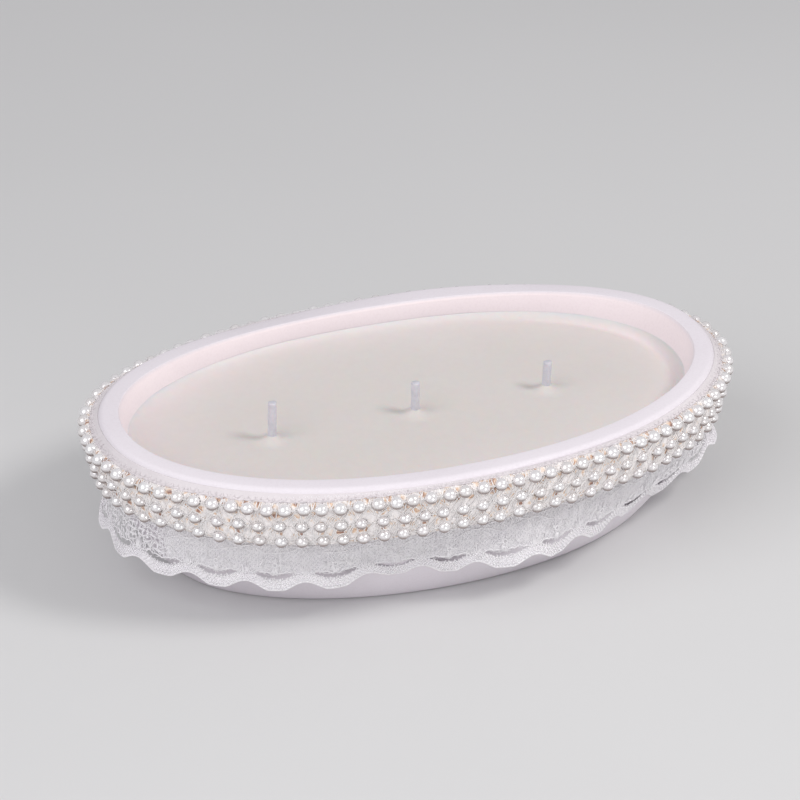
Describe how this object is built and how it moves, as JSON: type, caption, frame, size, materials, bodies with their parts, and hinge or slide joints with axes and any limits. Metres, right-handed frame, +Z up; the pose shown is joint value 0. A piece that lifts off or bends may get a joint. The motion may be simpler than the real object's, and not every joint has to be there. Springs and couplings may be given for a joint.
{
  "type": "three-wick candle bowl",
  "caption": "Oval cast bowl filled with wax and wicks, wrapped in a scalloped lace ribbon and rows of pearls strung on a net tape.",
  "frame": {"origin": "on the surface that the bowl stands on, under the middle of the bowl", "axes": "+X along the bowl's length, towards the shortest wick; +Y to the back; +Z up"},
  "size_m": [0.255, 0.1564, 0.0663],
  "materials": {
    "bowl": "matte, unglazed",
    "wax": "satin, slightly translucent wax",
    "wick": "waxed cotton",
    "tab": "tinned",
    "sticker": "foam, matte",
    "lace": "cotton lace",
    "tape": "net with thread",
    "pearl": "pearl lustre"
  },
  "bodies": {
    "root": {"bowl": "bowl", "wax_fill": "wax", "wick_left": "wick", "wick_centre": "wick", "wick_right": "wick", "wick_tab_left": "tab", "wick_tab_centre": "tab", "wick_tab_right": "tab", "wick_sticker_left": "sticker", "wick_sticker_centre": "sticker", "wick_sticker_right": "sticker", "lace_ribbon": "lace", "pearl_tape": "tape", "pearl_strand_top": "pearl", "pearl_strand_middle": "pearl", "pearl_strand_bottom": "pearl"}
  },
  "joints": []
}
